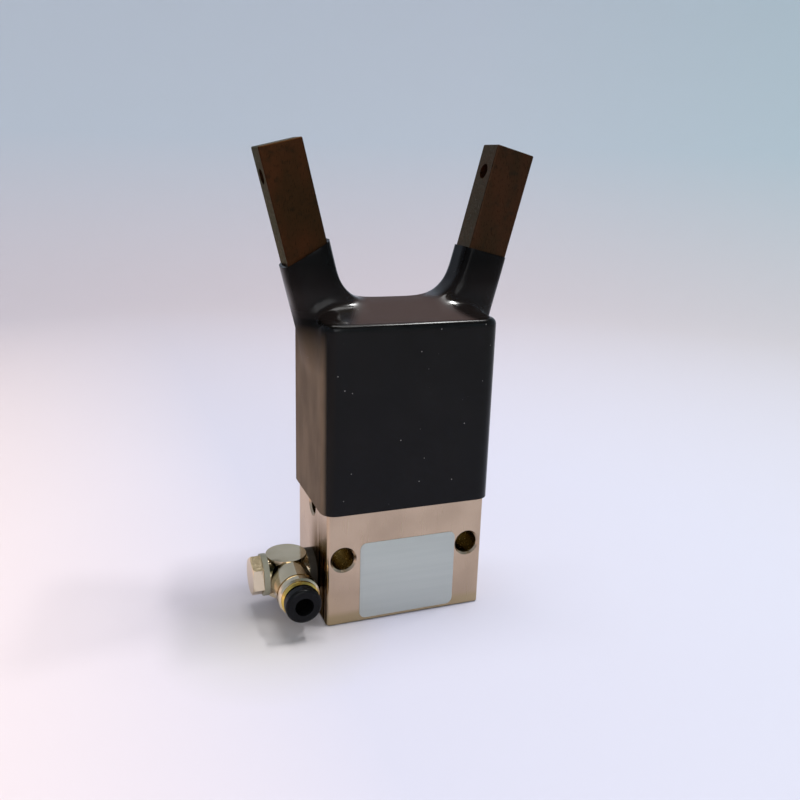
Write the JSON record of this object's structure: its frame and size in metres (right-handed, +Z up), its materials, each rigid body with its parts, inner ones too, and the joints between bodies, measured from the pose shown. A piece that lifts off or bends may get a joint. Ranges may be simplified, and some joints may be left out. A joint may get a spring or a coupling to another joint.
{
  "type": "pneumatic angular gripper",
  "caption": "Single-acting pneumatic angular gripper: plated block with a push-in elbow, rubber boot over its top, and bar fingers that swing shut as the piston lifts.",
  "frame": {"origin": "middle of the block's bottom face", "axes": "+Z up along the piston's axis, towards the fingers; X across the fingers, the air fitting on -X; -Y is the front, where the fitting's tube leaves"},
  "size_m": [0.0641, 0.0309, 0.1053],
  "materials": {
    "nickel_block": "satin nickel plate",
    "nickel_brass": "bright nickel plate",
    "plain_aluminium": "turned",
    "boot_rubber": "satin",
    "seal_rubber": "matt",
    "dark_steel": "dark brown oxide",
    "steel": "ground",
    "spring_steel": "plain",
    "bronze": "sintered",
    "brass": "polished",
    "washer_grey": "matt",
    "button_black": "satin"
  },
  "bodies": {
    "housing": {"housing": "nickel_block", "end_cap": "nickel_block", "end_cap_seal": "seal_rubber", "retaining_ring": "spring_steel", "rod_bush": "bronze", "return_spring": "spring_steel", "pivot_pin_left": "steel", "pivot_pin_right": "steel", "boot": "boot_rubber", "banjo_bolt": "nickel_brass", "banjo_washer_inner": "washer_grey", "banjo_washer_outer": "washer_grey", "banjo_body": "nickel_brass", "tube_seal": "seal_rubber", "grip_collet": "spring_steel", "collet_ring": "brass"},
    "piston": {"piston": "plain_aluminium", "piston_seal": "seal_rubber", "piston_screw": "steel", "drive_rod": "steel"},
    "finger_left": {"finger_left": "dark_steel", "finger_bush_left": "bronze", "drive_pin_left": "steel"},
    "finger_right": {"finger_right": "dark_steel", "finger_bush_right": "bronze", "drive_pin_right": "steel"},
    "release_button": {"release_button": "button_black"}
  },
  "joints": [
    {"name": "piston_slide", "type": "slide", "parent": "housing", "child": "piston", "axis": [0, 0, 1], "range_m": [0, 0.004], "stiffness_N_per_m": 1500, "springref_m": -0.004, "deforming": ["return_spring"]},
    {"name": "finger_left_swing", "type": "hinge", "parent": "housing", "child": "finger_left", "pos_m": [-0.01304, 0, 0.052], "axis": [0, 1, 0], "range_deg": [0, 15], "deforming": ["boot"]},
    {"name": "finger_right_swing", "type": "hinge", "parent": "housing", "child": "finger_right", "pos_m": [0.01304, 0, 0.052], "axis": [0, -1, 0], "range_deg": [0, 15], "deforming": ["boot"]},
    {"name": "release_button_press", "type": "slide", "parent": "housing", "child": "release_button", "axis": [0, 1, 0], "range_m": [0, 0.0008], "stiffness_N_per_m": 800, "springref_m": -0.001}
  ],
  "couplings": [
    {"joint": "finger_left_swing", "follows": "piston_slide", "rad_per_m": 65.449},
    {"joint": "finger_right_swing", "follows": "piston_slide", "rad_per_m": 65.449}
  ]
}
